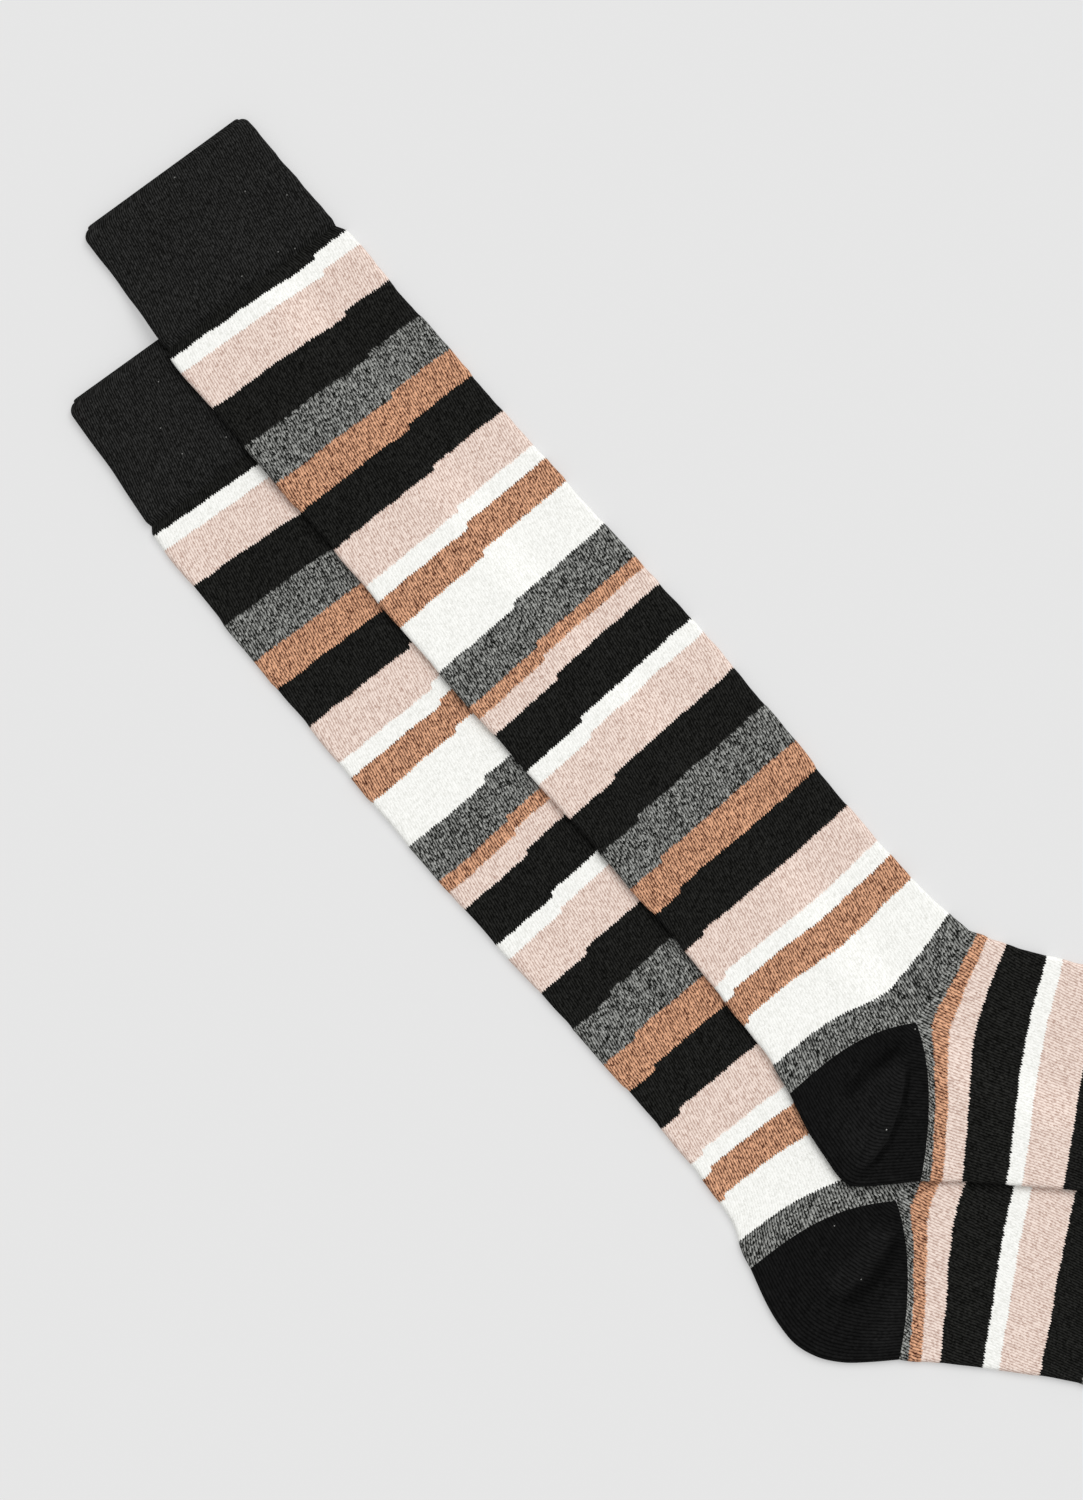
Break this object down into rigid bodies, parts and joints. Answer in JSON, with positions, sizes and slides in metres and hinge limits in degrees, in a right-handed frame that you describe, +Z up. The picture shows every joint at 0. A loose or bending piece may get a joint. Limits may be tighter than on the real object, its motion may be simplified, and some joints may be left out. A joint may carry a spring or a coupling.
{
  "type": "socks",
  "caption": "Pair of knee-high striped knitted socks laid flat, one half over the other, with black cuffs, heels and toes.",
  "frame": {"origin": "on the surface the socks lie on, under the middle of the pair", "axes": "+Z up from the surface, +Y along the legs towards the cuffs, +X to the side that the toes point to"},
  "size_m": [0.2448, 0.6396, 0.0079],
  "materials": {
    "black_knit": "fine matte cotton knit",
    "striped_knit": "fine matte cotton knit in stripes"
  },
  "bodies": {
    "root": {"lower_cuff": "black_knit", "lower_leg": "striped_knit", "lower_heel": "black_knit", "lower_foot": "striped_knit", "lower_toe": "black_knit", "upper_cuff": "black_knit", "upper_leg": "striped_knit", "upper_heel": "black_knit", "upper_foot": "striped_knit", "upper_toe": "black_knit"}
  },
  "joints": []
}
